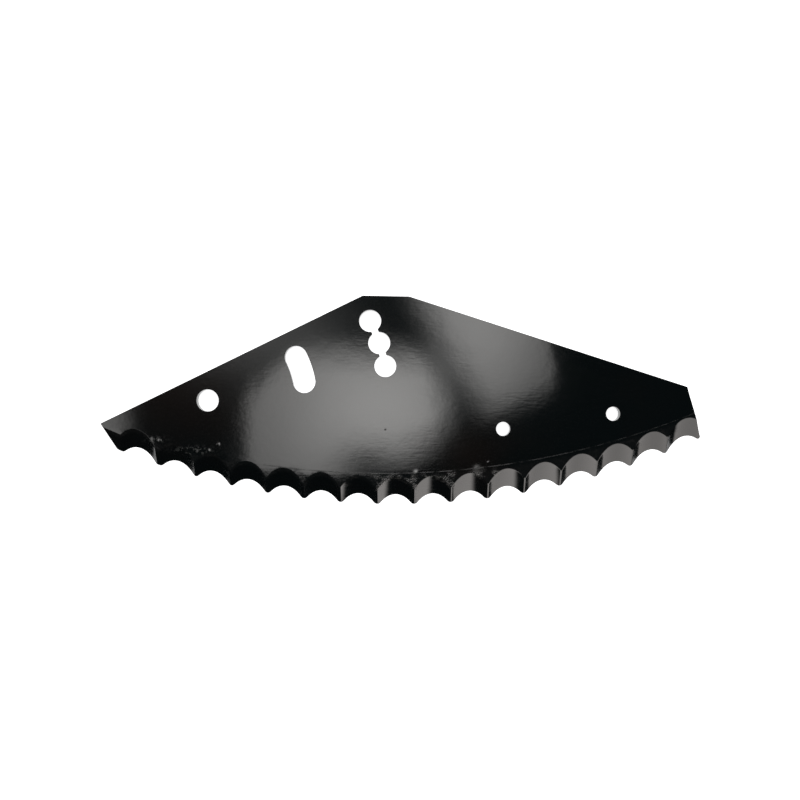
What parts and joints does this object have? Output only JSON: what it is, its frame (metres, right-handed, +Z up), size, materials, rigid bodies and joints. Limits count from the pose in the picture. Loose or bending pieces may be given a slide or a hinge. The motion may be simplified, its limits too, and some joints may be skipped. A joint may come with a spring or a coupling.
{
  "type": "feeder wagon knife",
  "caption": "Flat knife with a bowed scalloped edge bevelled on one face, a peaked back, a pivot hole, an arc slot, linked bolt holes and tail holes.",
  "frame": {"origin": "axis of the pivot hole, in the plate's underside", "axes": "+X along the blade from the nose to the tail, +Y from the cutting edge to the crown, +Z up through the plate to the bevelled face"},
  "size_m": [0.6019, 0.2092, 0.01],
  "materials": {
    "black_gloss_paint": "gloss black paint over steel plate"
  },
  "bodies": {
    "root": {"knife_blade": "black_gloss_paint"}
  },
  "joints": []
}
